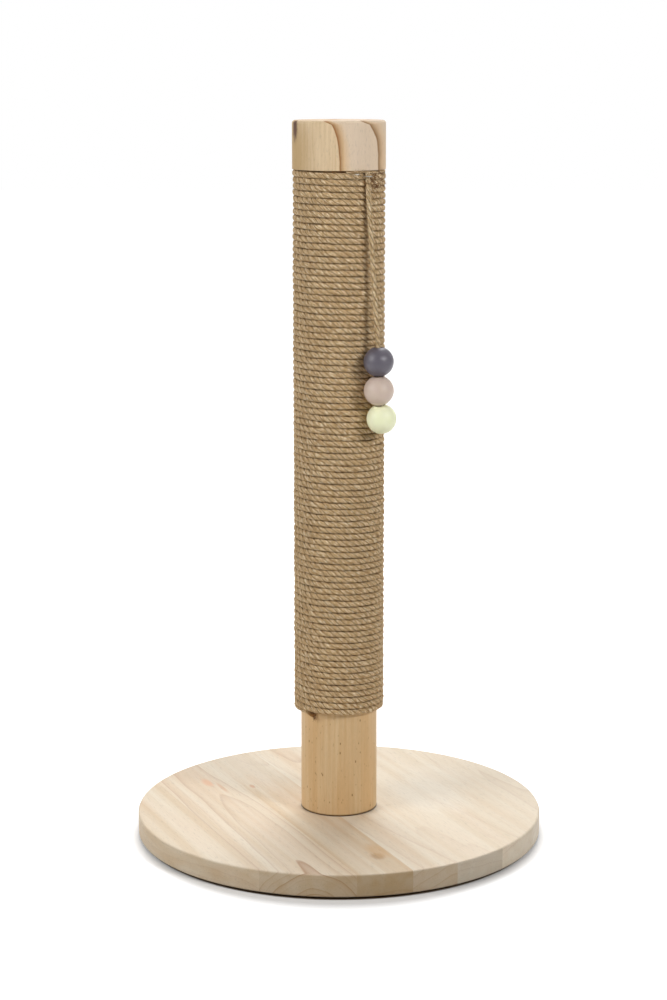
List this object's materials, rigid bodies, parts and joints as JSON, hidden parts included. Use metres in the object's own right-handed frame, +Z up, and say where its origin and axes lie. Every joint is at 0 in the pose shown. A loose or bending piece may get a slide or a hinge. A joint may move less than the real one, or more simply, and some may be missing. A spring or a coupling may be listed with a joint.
{
  "type": "cat scratching post",
  "caption": "Rope-wound cat scratching post on a round edge-glued wooden base, with a turned cap and painted wooden beads hanging on a cord.",
  "frame": {"origin": "on the floor under the middle of the base, on the post's axis", "axes": "+Z up along the post, -Y the front that the picture shows, +X to the right seen from the front"},
  "size_m": [0.4, 0.4, 0.7],
  "materials": {
    "panel_wood": "pale edge-glued hardwood boards, sanded and oiled",
    "core_wood": "turned beech, sanded",
    "cap_wood": "turned pale wood, sanded and oiled",
    "jute_rope": "three-strand twisted jute rope",
    "jute_cord": "three-strand twisted jute cord",
    "zinc_steel": "zinc-plated steel",
    "felt": "dark wool felt",
    "slate_paint": "turned wood with satin slate grey paint",
    "rose_paint": "turned wood with satin dusty rose paint",
    "lime_paint": "turned wood with satin pale lime paint"
  },
  "bodies": {
    "root": {"base_stave_1": "panel_wood", "base_stave_2": "panel_wood", "base_stave_3": "panel_wood", "base_stave_4": "panel_wood", "base_stave_5": "panel_wood", "base_stave_6": "panel_wood", "base_stave_7": "panel_wood", "foot_pad_1": "felt", "foot_pad_2": "felt", "foot_pad_3": "felt", "foot_pad_4": "felt", "base_bolt": "zinc_steel", "base_washer": "zinc_steel", "core_insert": "zinc_steel", "post_core": "core_wood", "cap_screw": "zinc_steel", "top_cap": "cap_wood", "rope_winding": "jute_rope", "rope_staple": "zinc_steel", "cord_staple": "zinc_steel", "toy_cord_end": "jute_cord"},
    "cord_neck": {"toy_cord_neck": "jute_cord"},
    "cord": {"toy_cord": "jute_cord", "cord_knot": "jute_cord"},
    "slate_bead": {"bead_slate": "slate_paint"},
    "rose_bead": {"bead_rose": "rose_paint"},
    "lime_bead": {"bead_lime": "lime_paint"}
  },
  "joints": [
    {"name": "toy_swing_side", "type": "hinge", "parent": "root", "child": "cord_neck", "pos_m": [0.0269, -0.03842, 0.6446], "axis": [0.5736, -0.8192, 0], "range_deg": [-80, 80]},
    {"name": "toy_swing_out", "type": "hinge", "parent": "cord_neck", "child": "cord", "pos_m": [0.0269, -0.03842, 0.6446], "axis": [-0.8192, -0.5736, 0], "range_deg": [0, 85]},
    {"name": "slate_bead_spin", "type": "hinge", "parent": "cord", "child": "slate_bead", "pos_m": [0.03751, -0.04561, 0.47608], "axis": [-0.02, 0.0214, 0.9996], "continuous": true},
    {"name": "rose_bead_spin", "type": "hinge", "parent": "cord", "child": "rose_bead", "pos_m": [0.03775, -0.04546, 0.44848], "axis": [-0.0555, -0.0455, 0.9974], "continuous": true},
    {"name": "lime_bead_spin", "type": "hinge", "parent": "cord", "child": "lime_bead", "pos_m": [0.04046, -0.04304, 0.42113], "axis": [-0.1174, -0.1162, 0.9863], "continuous": true}
  ]
}
